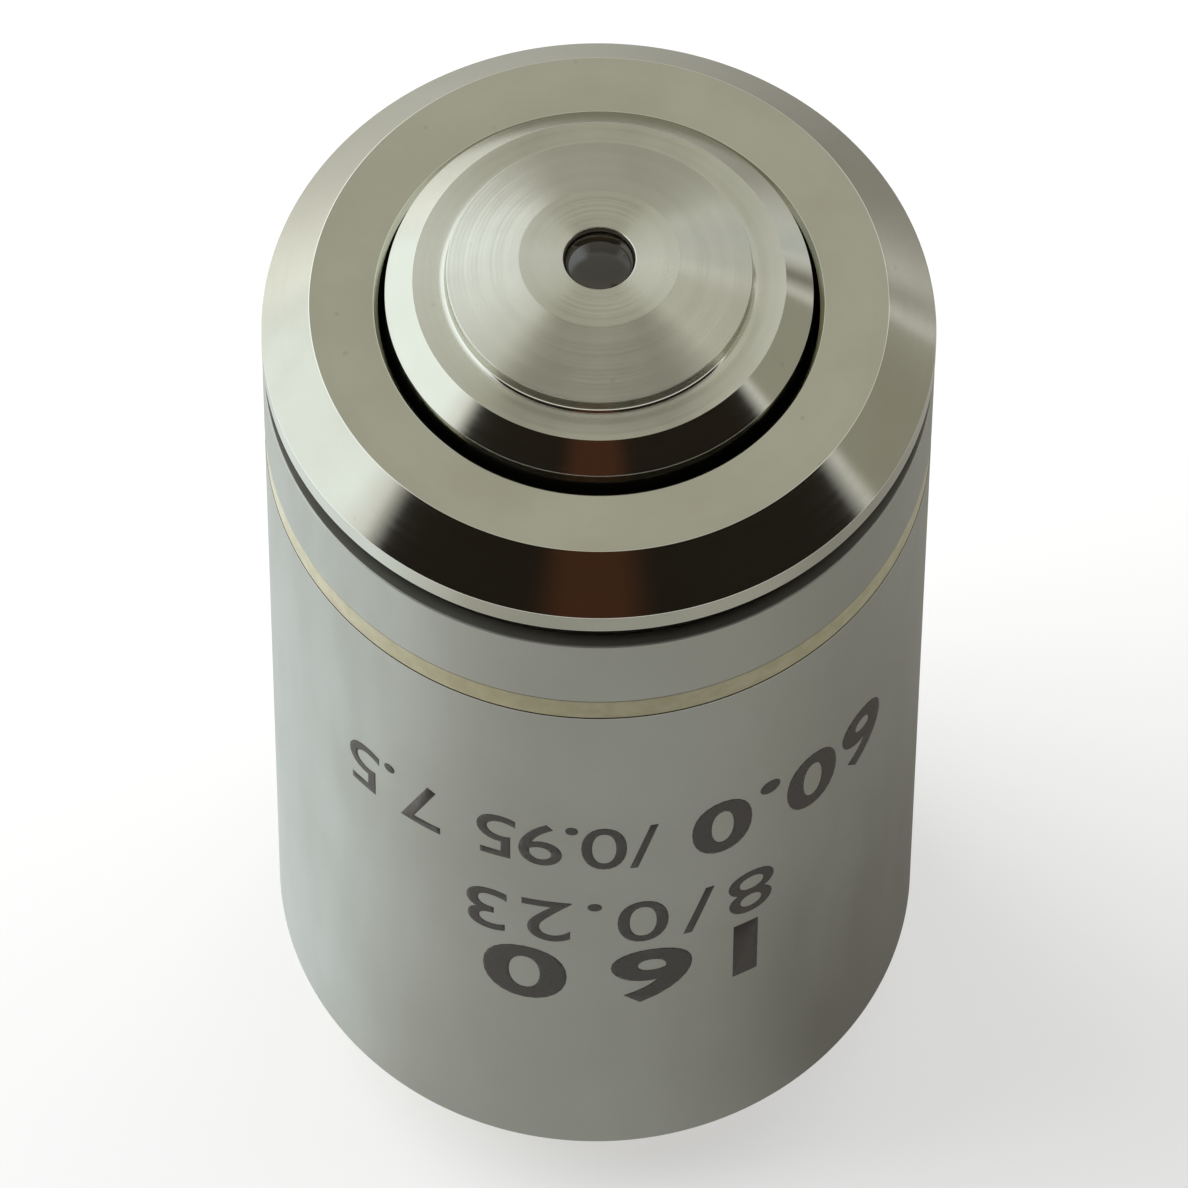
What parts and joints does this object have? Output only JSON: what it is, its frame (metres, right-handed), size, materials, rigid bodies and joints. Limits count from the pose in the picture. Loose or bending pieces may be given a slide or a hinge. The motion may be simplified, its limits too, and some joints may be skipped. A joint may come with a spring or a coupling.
{
  "type": "microscope objective",
  "caption": "Turned metal immersion objective: stepped conical nose on a sprung sliding lens unit, bevelled front ring over a grooved neck, plain barrel with a cream band, rear screw thread.",
  "frame": {"origin": "on the optical axis at the mounting shoulder, the flat face that meets the nosepiece", "axes": "+Z along the optical axis towards the front lens; X and Y lie in the shoulder, and the guide screw points along -Y"},
  "size_m": [0.0244, 0.0244, 0.0485],
  "materials": {
    "satin_chrome": "fine turned satin chrome plating",
    "ring_chrome": "fine turned satin chrome plating with bright edges",
    "nose_steel": "fine turned satin nickel plating",
    "band_enamel": "cream enamel let into a groove",
    "plated_brass": "satin nickel over brass",
    "sleeve_brass": "plain turned brass",
    "cell_brass": "blackened turned brass",
    "black_anodised": "matte black anodised",
    "hardened_steel": "plain hardened steel",
    "spring_steel": "drawn spring wire",
    "coated_glass": "polished and coated",
    "front_lens_glass": "polished, flat front"
  },
  "bodies": {
    "body": {"body_tube": "plated_brass", "outer_barrel": "satin_chrome", "colour_band": "band_enamel", "front_ring": "ring_chrome", "rear_baffle": "black_anodised", "guide_screw": "hardened_steel", "return_spring": "spring_steel"},
    "lens_unit": {"lens_sleeve": "sleeve_brass", "nose_cap": "nose_steel", "front_lens": "front_lens_glass", "meniscus_cell": "cell_brass", "meniscus_lens": "coated_glass", "front_doublet_cell": "cell_brass", "front_doublet_crown": "coated_glass", "front_doublet_flint": "coated_glass", "front_lock_ring": "black_anodised", "triplet_cell": "cell_brass", "triplet_front": "coated_glass", "triplet_middle": "coated_glass", "triplet_rear": "coated_glass", "middle_doublet_cell": "cell_brass", "middle_doublet_crown": "coated_glass", "middle_doublet_flint": "coated_glass", "cell_spacer": "black_anodised", "aperture_stop": "black_anodised", "rear_doublet_cell": "cell_brass", "rear_doublet_crown": "coated_glass", "rear_doublet_flint": "coated_glass", "rear_lock_ring": "black_anodised"}
  },
  "joints": [
    {"name": "nose_slide", "type": "slide", "parent": "body", "child": "lens_unit", "axis": [0, 0, 1], "range_m": [-0.0025, 0], "stiffness_N_per_m": 540, "springref_m": 0.003, "deforming": ["return_spring"]}
  ]
}
